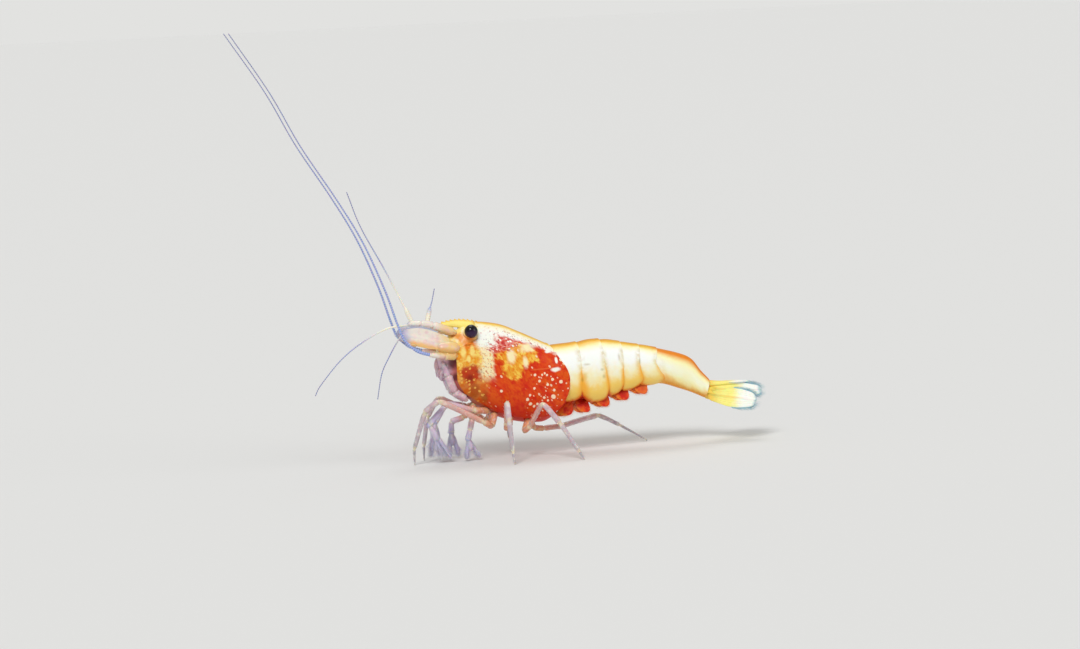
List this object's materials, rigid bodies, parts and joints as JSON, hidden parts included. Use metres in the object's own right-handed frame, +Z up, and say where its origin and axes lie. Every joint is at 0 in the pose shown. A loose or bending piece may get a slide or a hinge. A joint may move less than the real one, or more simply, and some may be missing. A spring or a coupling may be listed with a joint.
{
  "type": "dwarf aquarium shrimp model",
  "caption": "Still, life-size dwarf shrimp standing on its legs, with a humped abdomen, a folded tail fan and long feelers swept up and forward.",
  "frame": {"origin": "on the floor, under the middle of the whole animal's box", "axes": "+X towards the tail, -X towards the head and feelers, +Z up, -Y towards the animal's left side"},
  "size_m": [0.0388, 0.0082, 0.0323],
  "materials": {
    "shell_orange": "glossy shell, red-orange with pale raised dots",
    "head_yellow": "glossy, ochre yellow with dark red spots",
    "abdomen_cream": "glossy shell, cream with fine tan lines and yellow edges",
    "tail_yellow": "satin, yellow to white with a blue fringe",
    "swimmeret_red": "satin, orange-red",
    "limb_pale": "satin, translucent pale violet grey",
    "feeler_blue": "satin, translucent bluish white",
    "eye_black": "very glossy black-purple"
  },
  "bodies": {
    "root": {"carapace": "shell_orange", "thorax": "shell_orange", "head": "head_yellow", "somite_1": "abdomen_cream", "somite_2": "abdomen_cream", "somite_3": "abdomen_cream", "somite_4": "abdomen_cream", "somite_5": "abdomen_cream", "somite_6": "abdomen_cream", "telson": "tail_yellow", "mouthparts": "limb_pale", "eye_left": "eye_black", "eyestalk_left": "head_yellow", "antenna_base_left": "head_yellow", "antennule_left": "limb_pale", "antennal_scale_left": "limb_pale", "maxilliped_left": "limb_pale", "antennule_left_outer_flagellum": "feeler_blue", "antennule_left_inner_flagellum": "feeler_blue", "antenna_left": "feeler_blue", "swimmeret_1_left": "swimmeret_red", "swimmeret_2_left": "swimmeret_red", "swimmeret_3_left": "swimmeret_red", "swimmeret_4_left": "swimmeret_red", "swimmeret_5_left": "swimmeret_red", "uropod_inner_left": "tail_yellow", "uropod_outer_left": "tail_yellow", "leg_1_left": "limb_pale", "leg_2_left": "limb_pale", "leg_3_left": "limb_pale", "leg_4_left": "limb_pale", "leg_5_left": "limb_pale", "eye_right": "eye_black", "eyestalk_right": "head_yellow", "antenna_base_right": "head_yellow", "antennule_right": "limb_pale", "antennal_scale_right": "limb_pale", "maxilliped_right": "limb_pale", "antennule_right_outer_flagellum": "feeler_blue", "antennule_right_inner_flagellum": "feeler_blue", "antenna_right": "feeler_blue", "swimmeret_1_right": "swimmeret_red", "swimmeret_2_right": "swimmeret_red", "swimmeret_3_right": "swimmeret_red", "swimmeret_4_right": "swimmeret_red", "swimmeret_5_right": "swimmeret_red", "uropod_inner_right": "tail_yellow", "uropod_outer_right": "tail_yellow", "leg_1_right": "limb_pale", "leg_2_right": "limb_pale", "leg_3_right": "limb_pale", "leg_4_right": "limb_pale", "leg_5_right": "limb_pale"}
  },
  "joints": []
}
